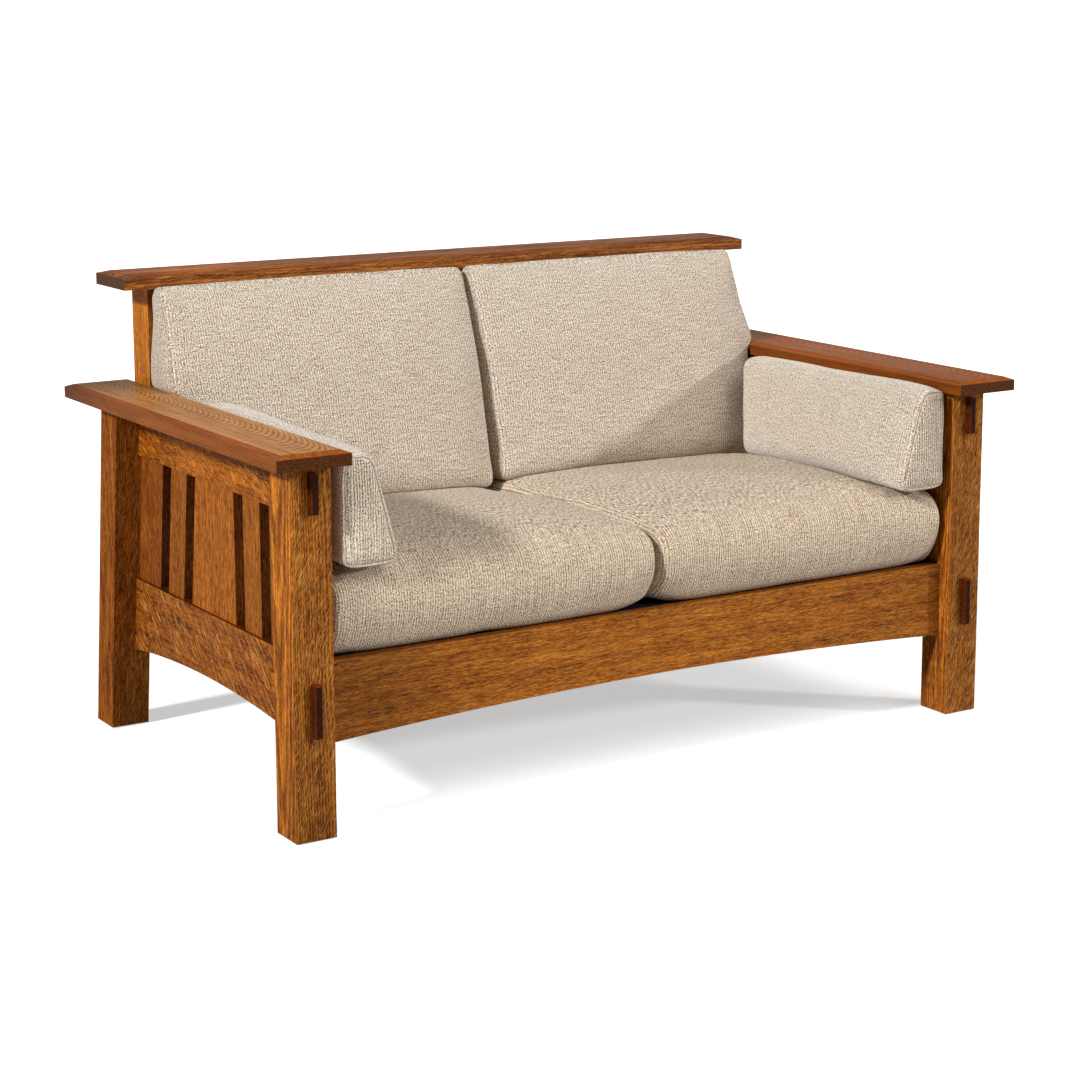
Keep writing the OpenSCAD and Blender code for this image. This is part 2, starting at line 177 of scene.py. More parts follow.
def oak_group():
    g = bpy.data.node_groups.new("oak_grain", "ShaderNodeTree")
    for name, default in OAK_INPUTS:
        kind = "NodeSocketVector" if isinstance(default, tuple) else "NodeSocketFloat"
        g.interface.new_socket(name, in_out="INPUT", socket_type=kind).default_value = default
    for name in ("Tone", "Dark", "Light", "Height"):
        g.interface.new_socket(name, in_out="OUTPUT", socket_type="NodeSocketFloat")
    t = Tree(g)
    i = t.add("NodeGroupInput").outputs
    o = t.add("NodeGroupOutput")
    p0 = i["Board"]
    x0, y0, z0 = t.split(p0)
    p = t.vec("ADD", p0, i["Seed"])
    x, y, z = t.split(p)

    def at(v, *k):
        return t.vec("MULTIPLY", v, k)

    def less(a, b):
        return t.math("SUBTRACT", a, b)
    # slow drift of the grain, so that no streak runs dead straight
    drift = t.math("MULTIPLY_ADD", t.noise(at(p, 0.005, 0.016, 0.016), 1.0, 2.0), 9.0, -4.5)
    q = t.join(x, t.math("ADD", y, drift), t.math("MULTIPLY_ADD", drift, 0.7, z))
    wide = t.noise(at(q, 0.0024, 0.045, 0.045), 1.0, 2.0)
    mid = t.noise(at(q, 0.0075, 0.20, 0.20), 1.0, 1.0, 0.5)
    fine = t.noise(at(q, 0.034, 0.46, 0.46), 1.0, 2.0, 0.75)
    hair = t.noise(at(q, 0.11, 0.95, 0.95), 1.0, 1.0, 0.7)
    # rings
    hy, hz, tilt = t.split(i["Heart"])
    wob = t.noise(at(p, 0.0055, 0.020, 0.020), 1.0, 2.0, 0.45)
    dy = t.math("MULTIPLY_ADD", x0, i["Rise"], less(y0, hy))
    dz = t.math("MULTIPLY_ADD", x0, tilt, less(z0, hz))
    rad = t.math("SQRT", t.math("ADD", t.math("MULTIPLY", dy, dy), t.math("MULTIPLY", dz, dz)))
    rad = t.math("MULTIPLY_ADD", wob, i["Wobble"], rad)
    saw = t.math("FRACT", t.math("DIVIDE", rad, i["Pitch"]))
    early = t.math("MULTIPLY", t.span(saw, 0.0, 0.18, smooth=True), t.span(saw, 0.85, 0.30, smooth=True))
    early = t.math("MULTIPLY", early, i["Rings"])
    tone = t.math("MULTIPLY", t.math("MULTIPLY_ADD", less(wide, 0.5), 0.9, t.math("MULTIPLY", less(mid, 0.5), 0.75)), i["Broad"])
    grain = t.math("MULTIPLY_ADD", less(fine, 0.5), 1.55, t.math("MULTIPLY", less(hair, 0.5), 1.25))
    tone = t.math("MULTIPLY_ADD", grain, i["Fine"], tone)
    tone = t.math("MULTIPLY_ADD", early, -0.55, tone)
    tone = t.math("ADD", tone, 0.55)
    # pores: short dark dashes along the grain, crowded in the early wood
    dash = t.noise(at(q, 0.085, 1.15, 1.15), 1.0, 0.0)
    pore = t.span(t.math("MULTIPLY_ADD", early, 0.10, dash), 0.62, 0.72, 0.0, 1.0, True)
    pore = t.math("MULTIPLY", t.math("MULTIPLY", pore, i["Pores"]), less(1.0, i["End"]))
    # ray flecks: thin pale strokes that cross the grain at a slant, mirrored about one place on the board
    c = t.math("ADD", y, z)
    warp = t.math("MULTIPLY_ADD", t.noise(t.join(t.math("MULTIPLY", x, 0.006), t.math("MULTIPLY", c, 0.010), 4.0), 1.0, 1.0), 18.0, -9.0)
    ca, sa = t.math("COSINE", i["Lean"]), t.math("SINE", i["Lean"])
    run = less(x0, i["Turn"])
    away = t.math("SQRT", t.math("MULTIPLY_ADD", run, run, 300.0))
    cw = t.math("ADD", c, warp)
    along = t.math("MULTIPLY", t.math("ADD", t.math("MULTIPLY", away, ca), t.math("MULTIPLY", c, sa)), i["Stroke"])
    across = t.math("MULTIPLY", less(t.math("MULTIPLY", cw, ca), t.math("MULTIPLY", away, sa)), i["Stroke"])
    long_ = t.noise(t.join(t.math("MULTIPLY", along, 0.020), t.math("MULTIPLY", across, 0.34), 0.0), 1.0, 1.0, 0.55)
    short = t.noise(t.join(t.math("MULTIPLY", along, 0.055), t.math("MULTIPLY", across, 0.52), 7.0), 1.0, 0.0)
    patch = t.noise(t.join(t.math("MULTIPLY", x, 0.010), t.math("MULTIPLY", c, 0.018), 9.0), 1.0, 1.5)
    s1 = t.span(t.math("MULTIPLY_ADD", less(patch, 0.5), 0.30, long_), 0.575, 0.612, 0.0, 1.0, True)
    s2 = t.math("MULTIPLY", t.span(t.math("MULTIPLY_ADD", less(patch, 0.5), 0.15, short), 0.60, 0.69, 0.0, 1.0, True), i["Short"])
    fleck = t.math("MAXIMUM", s1, s2)
    fleck = t.math("MULTIPLY", t.math("MULTIPLY", fleck, i["Fleck"]), less(1.0, i["End"]))
    t.put(o.inputs["Tone"], tone)
    t.put(o.inputs["Dark"], pore)
    t.put(o.inputs["Light"], fleck)
    h = t.math("MULTIPLY", pore, -1.0)
    h = t.math("MULTIPLY_ADD", hair, 0.4, h)
    h = t.math("MULTIPLY_ADD", fleck, 0.2, h)
    t.put(o.inputs["Height"], h)
    return g


OAK = oak_group()
AXES = {"x": ("x", "z", "y"), "y": ("y", "z", "x"), "z": ("z", "x", "y")}
OAK_STOPS = [(0.0, (0.050, 0.0122, 0.0014)), (0.28, (0.134, 0.0350, 0.0031)), (0.52, (0.236, 0.0693, 0.0058)), (0.76, (0.350, 0.1130, 0.0100)), (1.0, (0.480, 0.176, 0.0180))]
CAP_STOPS = [(0.0, (0.085, 0.0180, 0.0028)), (0.3, (0.200, 0.0450, 0.0056)), (0.52, (0.320, 0.0800, 0.0110)), (0.75, (0.450, 0.1230, 0.0200)), (1.0, (0.600, 0.185, 0.0360))]


def oak(name, node, axis, seed, quarter="z", fleck=0.5, other=0.0, heart=(70.0, 0.0, 0.0), lean=0.45, turn=-4000.0, rise=0.0, pitch=3.5, wobble=6.0, rings=0.3,
        fine=1.0, broad=0.7, pores=0.8, stroke=1.0, short=0.6, tint=(1, 1, 1), stops=OAK_STOPS, end=(0.085, 0.030, 0.008), rough=0.48, coat=0.0, gloss=0.08,
        light=(0.76, 0.35, 0.075), grade=None, wear_and_highlight=0.45, sides=None, side_rings=1.0, flat=(0.6, 0.9)):
    """quarter: the board axis (y or z) that faces out of the quarter-sawn sides, which carry the flecks; the other
    sides get the share in other.
    heart: where the heart of the tree lies beside the board's middle, across it in y and z, and its slope along the
    board; rise: the slope in y.
    grade: (place along the board in mm, factor) pairs that make a board darker or lighter towards an end; on the front
    posts and the arm caps this is painted light and shade.
    sides: colour factors of the faces across board y and across board z, painted light and shade by the way a face
    turns to the lamps; side_rings: the share of the rings on faces other than those across board y;
    flat: how squarely a face must lie to take its side colour."""
    mat, t, bsdf = new_material(name)
    lo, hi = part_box(node)
    order = AXES[axis]
    idx = {"x": 0, "y": 1, "z": 2}
    tc = t.add("ShaderNodeTexCoord")
    s = t.split(tc.outputs["Object"])
    r = np.random.RandomState(seed)
    mid = (lo + hi) / 2
    board = t.join(*[t.math("MULTIPLY_ADD", s[idx[a]], 1000.0, -1000.0 * mid[idx[a]]) for a in order])
    nrm = t.split(tc.outputs["Normal"])
    endy = t.span(t.math("ABSOLUTE", nrm[idx[order[0]]]), 0.55, 0.85)
    face = t.span(t.math("ABSOLUTE", nrm[idx[order[2 if quarter == "z" else 1]]]), 0.5, 0.8, other * 1.0, fleck * 1.0)
    if side_rings != 1.0:
        rings = t.span(t.math("ABSOLUTE", nrm[idx[order[1]]]), *flat, rings * side_rings, rings * 1.0)
    grp = t.add("ShaderNodeGroup", node_tree=OAK)
    for k, v in (("Board", board), ("Seed", tuple(float(v) for v in r.uniform(-4000, 4000, 3))), ("End", endy), ("Fleck", face), ("Lean", lean), ("Turn", turn),
                 ("Stroke", stroke), ("Short", short), ("Heart", heart), ("Rise", rise), ("Pitch", pitch), ("Wobble", wobble), ("Rings", rings), ("Fine", fine),
                 ("Broad", broad), ("Pores", pores)):
        t.put(grp.inputs[k], v)
    col = t.ramp(grp.outputs["Tone"], stops)
    col = t.mix(t.math("MULTIPLY", grp.outputs["Light"], 0.85), col, light)
    col = t.mix(t.math("MULTIPLY", grp.outputs["Dark"], 0.65), col, tuple(v * 0.8 for v in stops[0][1]))
    # grade: darker or lighter towards an end; on the front posts and arm caps this is painted light and shade
    if grade:
        xs = t.split(board)[0]
        lo_g, hi_g = grade[0][0], grade[-1][0]
        k = t.ramp(t.span(xs, lo_g, hi_g), [((g - lo_g) / (hi_g - lo_g), (f / 2, f / 2, f / 2)) for g, f in grade])
        col = t.mix(1.0, col, t.vec("SCALE", k, scale=2.0), "MULTIPLY")
    # painted light and shade: faces turned across board y or z take their own colour factor
    for k, f in enumerate(sides or ()):
        if f:
            face_light_mask = t.span(t.math("ABSOLUTE", nrm[idx[order[1 + k]]]), *flat)
            col = t.mix(face_light_mask, col, t.mix(1.0, col, f, "MULTIPLY"))
    # paler arrises: partly real wear where the stain thins, partly a painted highlight where light catches the rounded
    # edge
    edge = t.add("ShaderNodeBevel", samples=4)
    edge.inputs["Radius"].default_value = 0.0028
    geo = t.add("ShaderNodeNewGeometry")
    wear_and_highlight_mask = t.span(t.vec("DOT_PRODUCT", edge.outputs[0], geo.outputs["Normal"]), 0.995, 0.90)
    patchy = t.span(t.noise(tc.outputs["Object"], 38.0, 2.0), 0.35, 0.65)
    col = t.mix(t.math("MULTIPLY", t.math("MULTIPLY", wear_and_highlight_mask, patchy), wear_and_highlight), col, (0.42, 0.185, 0.045))
    rays = t.span(t.noise(t.vec("MULTIPLY", board, (0.02, 0.45, 0.16)), 1.0, 3.0), 0.32, 0.68)
    col = t.mix(endy, col, t.mix(rays, tuple(c * 0.4 for c in end), tuple(c * 1.3 for c in end)))
    if tint != (1, 1, 1):
        col = t.mix(1.0, col, tint, "MULTIPLY")
    t.put(bsdf.inputs["Base Color"], col)
    ro = t.math("MULTIPLY_ADD", grp.outputs["Dark"], 0.2, rough - 0.07)
    ro = t.math("MULTIPLY_ADD", t.noise(tc.outputs["Object"], 9.0, 2.0), 0.14, ro)
    t.put(bsdf.inputs["Roughness"], ro)
    bsdf.inputs["Specular IOR Level"].default_value = gloss
    bsdf.inputs["Coat Weight"].default_value = coat
    bsdf.inputs["Coat Roughness"].default_value = 0.25
    bump(t, bsdf, grp.outputs["Height"], 0.0002, 0.8)
    return mat


def give(node, mat):
    o = NODES[node]
    o.data.materials.clear()
    o.data.materials.append(mat)


def ease(node, width=0.0016, segments=3):
    """Rounds the arrises of a board a little, as sanding does."""
    b = NODES[node].modifiers.new("arris", "BEVEL")
    b.width = width
    b.segments = segments
    b.limit_method = "ANGLE"
    b.angle_limit = math.radians(32)
    b.harden_normals = False
    for p in NODES[node].data.polygons:
        p.use_smooth = False


# What each board is cut from. Board y and z are X and Y on an upright, and Z and X on a rail that runs front to back.
WOODS = {
    # posts and legs: sides paints light and shade by the way each face turns to the lamps, the front posts' faces
    # across X much lighter; the front posts' grades paint them lighter towards the top, where more light falls
    "front_post_left": dict(axis="z", seed=1, fleck=0.42, lean=0.38, heart=(60, 14, 0.0), rise=0.020, rings=0.62, pitch=3.8, stroke=1.7, short=0.9, sides=((1.74, 1.74, 1.34), None),
                            grade=((-310, 0.78), (-180, 0.9), (0, 1.08), (230, 1.18), (310, 1.02))),
    "front_post_right": dict(axis="z", seed=2, fleck=0.45, lean=0.45, heart=(-60, -14, 0.0), rise=-0.020, rings=0.5, pitch=3.8, stroke=1.6, short=0.9, sides=((1.50, 1.50, 1.80), None), tint=(0.94, 0.94, 0.97), grade=((-310, 1.0), (60, 1.0), (310, 1.14))),
    "back_leg_left": dict(axis="z", seed=3, fleck=0.2, lean=0.3, heart=(70, 20, 0.0), rise=0.016, rings=0.40, pitch=3.6, broad=0.9, gloss=0.03, sides=((1.10, 0.98, 0.80), (1.14, 1.15, 1.5))),
    "back_leg_right": dict(axis="z", seed=4, fleck=0.3, lean=0.3, heart=(-70, 20, 0.0), rise=-0.016, rings=0.40, pitch=3.6, broad=0.9, gloss=0.03, sides=((1.10, 0.98, 0.80), (1.14, 1.15, 1.5))),
    # rails: sides darkens the top and bottom faces, painted shade at the foot and head of the gaps between the slats
    "arm_rail_left": dict(axis="y", seed=5, fleck=1.0, lean=0.56, turn=-235, rings=0.15, stroke=1.42, broad=1.1, tint=(0.85, 0.66, 0.32), sides=((0.5, 0.45, 0.5), None)),
    "arm_rail_right": dict(axis="y", seed=6, fleck=1.0, lean=0.56, turn=-100, rings=0.15, stroke=1.42, broad=1.1, tint=(0.85, 0.66, 0.32), sides=((0.5, 0.45, 0.5), None)),
    "side_rail_left": dict(axis="y", seed=7, fleck=0.95, lean=-0.74, turn=4000, rings=0.15, stroke=1.05, short=0.8, broad=1.1, tint=(0.78, 0.64, 0.55), sides=((0.5, 0.45, 0.5), None)),
    "side_rail_right": dict(axis="y", seed=8, fleck=0.95, lean=-0.6, turn=40, rings=0.15, stroke=1.05, short=0.8, broad=1.1, tint=(0.78, 0.64, 0.55), sides=((0.5, 0.45, 0.5), None)),
    "front_rail": dict(axis="x", seed=9, fleck=0.16, lean=0.22, rings=0.10, stroke=1.5, tint=(1.06, 1.06, 1.15), grade=((-649, 0.70), (-480, 0.82), (-250, 1.10), (100, 1.16), (400, 1.0), (649, 0.9))),
    "rear_rail": dict(axis="x", seed=10, fleck=0.3, lean=0.3),
    "back_top_rail": dict(axis="x", seed=11, fleck=0.3, lean=0.4),
    "back_bottom_rail": dict(axis="x", seed=12, fleck=0.4, lean=0.5),
    "back_slats": dict(axis="z", seed=13, fleck=0.2, lean=0.3),
    "back_stile_left": dict(axis="z", seed=14, fleck=0.15, lean=0.3, heart=(60, 0, 0.0), rings=0.2, broad=0.5, fine=0.8, tint=(2.1, 2.2, 2.0)),
    "back_stile_right": dict(axis="z", seed=15, fleck=0.15, lean=0.3, heart=(-60, 0, 0.0), rings=0.2, broad=0.5, fine=0.8, tint=(1.62, 1.55, 1.4)),
}
SLATS = {"centre_slat": dict(fleck=0.0, tint=(1.30, 1.20, 1.08)), "narrow_slat_front": dict(fleck=0.0, tint=(1.08, 1.02, 0.92)),
         "narrow_slat_rear": dict(fleck=0.0, tint=(1.03, 0.97, 0.85)), "end_slat_front": dict(fleck=0.1, tint=(0.90, 0.86, 0.8)),
         "end_slat_rear": dict(fleck=0.45, tint=(0.72, 0.56, 0.62))}
for n, (k, kw) in enumerate(SLATS.items()):
    # slats: sides darkens their front and back edges, painted shade in the narrow gaps between them
    for side, sd in (("left", 20), ("right", 40)):
        WOODS[f"{k}_{side}"] = dict(axis="z", seed=sd + n, quarter="y", lean=0.45, heart=(90, 0, 0.0), rings=0.05, broad=0.3, fine=1.15, pores=0.8,
                                       sides=(None, (0.52, 0.46, 0.95)), **kw)
for name, kw in WOODS.items():
    give(name, oak("oak_" + name, name, **kw))
    ease(name)
# arm caps: top multiplies the colour of the tops, a painted sheen and reflection, paler and bluer on the left cap; out
# darkens the faces at the sides, painted shade; the tint, which top and out make up for, leaves the bevels darker,
# painted shade; grade darkens each cap towards its back end, painted shade
for name, sd, hx, top, out in (("arm_cap_left", 60, 1, (1.80, 3.12, 6.9), (0.85, 0.87, 0.56)), ("arm_cap_right", 61, -1, (1.14, 1.14, 0.60), (0.70, 0.72, 0.56))):
    give(name, oak("oak_" + name, name, "y", sd, quarter="y", fleck=0.0, heart=(-92, -8 * hx, 0.0), rise=-0.12, pitch=2.4, wobble=4.5, rings=0.50, fine=0.32, broad=0.6, pores=0.3,
                   stops=CAP_STOPS, end=(0.100, 0.0300, 0.0080), tint=(0.85, 0.83, 0.76), rough=0.36, gloss=0.08, wear_and_highlight=0.35, side_rings=0.15, flat=(0.935, 0.985), sides=(top, out),
                   grade=((-443, 1.0), (-100, 1.0), (220, 0.92), (310, 0.72), (390, 0.52), (443, 0.38))))
    ease(name, 0.0022)
# crest cap: sides darkens its top, painted shade
give("crest_cap", oak("oak_crest_cap", "crest_cap", "x", 62, quarter="z", fleck=0.15, lean=0.25, heart=(-60, 10, 0.0), rise=0.02, rings=0.45, wobble=14.0, fine=0.9, broad=1.4, stops=CAP_STOPS,
                      end=(0.080, 0.0240, 0.0045), rough=0.38, gloss=0.08, wear_and_highlight=0.4, tint=(0.96, 1.17, 1.45), sides=((0.72, 0.62, 0.45), None),
                      grade=((-689, 1.1), (-560, 1.5), (-440, 1.35), (-300, 1.0), (200, 1.0), (689, 1.0))))
ease("crest_cap", 0.0022)
# tenon blocks: sides darkens their left and right faces, painted shade
for n in ("tenon_blocks_left", "tenon_blocks_right"):
    give(n, oak("end_grain_" + n, n, "y", 70, fleck=0.0, broad=0.4, tint=(0.72, 0.46, 0.45), end=(0.040, 0.0150, 0.0060), gloss=0.06, wear_and_highlight=0.2, sides=(None, (0.40, 0.36, 0.40))))
    ease(n, 0.0012)
INNER = [(0.0, (0.30, 0.19, 0.09)), (0.4, (0.46, 0.32, 0.17)), (0.7, (0.58, 0.43, 0.25)), (1.0, (0.68, 0.53, 0.33))]
for n, ax in (("seat_brace", "y"), ("seat_cleat_front", "x"), ("seat_cleat_rear", "x"), ("seat_cleat_left", "y"), ("seat_cleat_right", "y"),
              ("corner_blocks", "x"), ("back_spacer_left", "z"), ("back_spacer_right", "z"), ("arm_dowels", "z"), ("crest_dowels", "z")):
    give(n, oak("inner_" + n, n, ax, 80 + len(n), fleck=0.1, stops=INNER, end=(0.42, 0.29, 0.16), rough=0.6, light=(0.72, 0.58, 0.38), wear_and_highlight=0.2))
    ease(n, 0.001, 2)


def metal(name):
    mat, t, bsdf = new_material(name)
    tc = t.add("ShaderNodeTexCoord")
    n = t.noise(tc.outputs["Object"], 900.0, 3.0)
    t.put(bsdf.inputs["Base Color"], t.ramp(n, [(0.2, (0.42, 0.42, 0.43)), (0.8, (0.66, 0.66, 0.67))]))
    bsdf.inputs["Metallic"].default_value = 1.0
    t.put(bsdf.inputs["Roughness"], t.span(n, 0.2, 0.8, 0.25, 0.45))
    bump(t, bsdf, n, 0.00005, 0.5)
    return mat


zinc = metal("zinc_steel")
for n in ("panel_screws", "back_bolts", "block_screws"):
    give(n, zinc)


def nylon():
    mat, t, bsdf = new_material("dark_nylon")
    tc = t.add("ShaderNodeTexCoord")
    n = t.noise(tc.outputs["Object"], 600.0, 4.0)
    t.put(bsdf.inputs["Base Color"], t.ramp(n, [(0.2, (0.022, 0.019, 0.017)), (0.8, (0.045, 0.04, 0.036))]))
    bsdf.inputs["Roughness"].default_value = 0.5
    bump(t, bsdf, n, 0.0001, 0.4)
    return mat


give("foot_glides", nylon())
ease("foot_glides", 0.0006, 2)


def strap(name, axis):
    """Woven webbing: twill across the strap."""
    mat, t, bsdf = new_material(name)
    tc = t.add("ShaderNodeTexCoord")
    s = t.split(tc.outputs["Object"])
    a, b = (s[1], s[0]) if axis == "y" else (s[0], s[1])
    tw = t.math("SINE", t.math("MULTIPLY", t.math("ADD", a, t.math("MULTIPLY", b, 1.0)), 2 * math.pi / 0.0022))
    wf = t.math("SINE", t.math("MULTIPLY", b, 2 * math.pi / 0.0016))
    h = t.math("MULTIPLY_ADD", wf, 0.5, tw)
    n = t.noise(tc.outputs["Object"], 300.0, 2.0)
    col = t.ramp(t.math("MULTIPLY_ADD", h, 0.2, n), [(0.1, (0.10, 0.085, 0.06)), (0.6, (0.25, 0.22, 0.165)), (1.0, (0.36, 0.32, 0.25))])
    t.put(bsdf.inputs["Base Color"], col)
    bsdf.inputs["Roughness"].default_value = 0.85
    bump(t, bsdf, h, 0.0003, 0.8)
    return mat


give("webbing_long", strap("webbing_front_to_back", "y"))
give("webbing_cross", strap("webbing_side_to_side", "x"))

# ------------------------------------------------------------------ tweed
# The weave is laid in metres: x across the ribs, y along them.
def tweed(name, seed, rib=1.0, streaky=1.0, tint=(1, 1, 1), sheen=0.15, seam_shade=0.45, pull=2.0):
    mat, t, bsdf = new_material(name)
    uv = t.add("ShaderNodeAttribute", attribute_name="weave").outputs["Vector"]
    mm = t.vec("MULTIPLY_ADD", uv, (1000.0, 1000.0, 0.0))
    mm.node.inputs[2].default_value = (seed * 731.0, seed * 377.0, 0.0)

    def n(ku, kv, detail=1.0, shift=0.0, rough=0.5):
        v = t.vec("MULTIPLY", mm, (ku, kv, 0.0))
        return t.math("SUBTRACT", t.noise(t.vec("ADD", v, (shift, shift * 1.7, 0.0)), 1.0, detail, rough, dims="2D"), 0.5)
    u, v, _ = t.split(mm)
    sway = t.math("MULTIPLY", n(0.05, 0.02, 2.0, 11.0), 5.0)
    phase = t.math("MULTIPLY", t.math("ADD", u, sway), 2 * math.pi / 4.9)
    broken = t.math("MULTIPLY_ADD", n(0.21, 0.20, 1.0, 19.0), 4.0, 1.0)
    ribs = t.math("MULTIPLY", t.math("COSINE", phase), broken)             # positive on a rib, negative in the groove between two
    slub = n(0.38, 0.17, 1.0, 3.0)                                        # thick and thin places in a yarn
    knot = n(0.60, 0.37, 1.0, 31.0)                                       # where a fill yarn comes over
    hair = n(2.1, 1.4, 1.0, 57.0)
    streak = n(0.34, 0.011, 1.0, 83.0)                                    # a whole yarn lighter or darker
    weft = n(0.020, 0.40, 1.0, 97.0)
    tone = t.math("MULTIPLY_ADD", slub, 0.42, 0.5)
    tone = t.math("MULTIPLY_ADD", knot, 1.55, tone)
    tone = t.math("MULTIPLY_ADD", hair, 0.8, tone)
    tone = t.math("MULTIPLY_ADD", streak, 0.34 * streaky, tone)
    tone = t.math("MULTIPLY_ADD", weft, 0.28, tone)
    tone = t.math("MULTIPLY_ADD", ribs, 0.125 * rib, tone)
    lying = t.span(t.split(t.add("ShaderNodeTexCoord").outputs["Normal"])[2], 0.72, 0.97)
    pulled = n(0.50, 0.095, 1.0, 131.0)                                   # where it lies flat and is sat on, the slubs are drawn out front to back
    tone = t.math("MULTIPLY_ADD", t.math("MULTIPLY", pulled, lying), pull, tone)
    col = t.ramp(tone, [(0.10, (0.130, 0.078, 0.040)), (0.30, (0.31, 0.218, 0.132)), (0.47, (0.555, 0.445, 0.33)), (0.62, (0.735, 0.635, 0.51)), (0.88, (0.90, 0.83, 0.73))])
    # warm tan and cool grey flecks
    hue = n(0.24, 0.20, 2.0, 7.0)
    col = t.mix(t.span(hue, 0.08, 0.2, 0.0, 0.5, True), col, t.mix(1.0, col, (1.0, 0.80, 0.58), "MULTIPLY"))
    col = t.mix(t.span(hue, -0.08, -0.2, 0.0, 0.5, True), col, t.mix(1.0, col, (0.86, 0.90, 0.95), "MULTIPLY"))
    # painted shade in the seam valleys: the sewn seam rows are darkened towards dark brown
    seam = t.add("ShaderNodeAttribute", attribute_name="seam").outputs["Fac"]
    col = t.mix(t.math("MULTIPLY", seam, seam_shade), col, (0.11, 0.07, 0.042))
    if tint != (1, 1, 1):
        col = t.mix(1.0, col, tint, "MULTIPLY")
    t.put(bsdf.inputs["Base Color"], col)
    bsdf.inputs["Roughness"].default_value = 0.92
    bsdf.inputs["Specular IOR Level"].default_value = 0.15
    bsdf.inputs["Sheen Weight"].default_value = sheen
    bsdf.inputs["Sheen Roughness"].default_value = 0.5
    h = t.math("MULTIPLY_ADD", knot, 1.5, t.math("MULTIPLY", ribs, 0.40 * rib))
    h = t.math("MULTIPLY_ADD", slub, 0.8, h)
    h = t.math("MULTIPLY_ADD", hair, 0.8, h)
    bump(t, bsdf, h, 0.0011, 0.8)
    return mat


# ------------------------------------------------------------------ cushions
def loop_from(points, corners, nb, nh):
    """Closed smooth curve through points. It is sampled so that the four corners (indices into points) fall nb, nh, nb and nh steps apart.
    Returns the samples and how far along the curve each lies."""
    p = np.array(points, float)
    n = len(p)
    dense, at = [], []
    for i in range(n):
        p0, p1, p2, p3 = p[(i - 1) % n], p[i], p[(i + 1) % n], p[(i + 2) % n]
        d1, d2, d3 = (max(1e-6, np.linalg.norm(b - a)) ** 0.5 for a, b in ((p0, p1), (p1, p2), (p2, p3)))
        m1 = ((p2 - p1) / d2 - (p2 - p0) / (d1 + d2) + (p1 - p0) / d1) * d2
        m2 = ((p3 - p2) / d3 - (p3 - p1) / (d2 + d3) + (p2 - p1) / d2) * d2
        at.append(len(dense))
        for s in np.linspace(0, 1, 24, endpoint=False):
            dense.append((2 * s**3 - 3 * s**2 + 1) * p1 + (s**3 - 2 * s**2 + s) * m1 + (-2 * s**3 + 3 * s**2) * p2 + (s**3 - s**2) * m2)
    dense = np.array(dense + [dense[0]])
    run = np.concatenate([[0], np.cumsum(np.linalg.norm(np.diff(dense, axis=0), axis=1))])
    ends = [run[at[c]] for c in corners] + [run[-1]]
    want = np.concatenate([np.linspace(ends[k], ends[k + 1], m, endpoint=False) for k, m in enumerate((nb, nh, nb, nh))])
    out = np.stack([np.interp(want, run, dense[:, k]) for k in (0, 1)], 1)
    return out, np.append(want, run[-1])


def inward(loop):
    d = np.roll(loop, -1, 0) - np.roll(loop, 1, 0)
    n = np.stack([-d[:, 1], d[:, 0]], 1)
    n /= np.maximum(1e-9, np.linalg.norm(n, axis=1))[:, None]
    c = loop.mean(0)
    if ((c - loop) * n).sum() < 0:
        n = -n
    return n


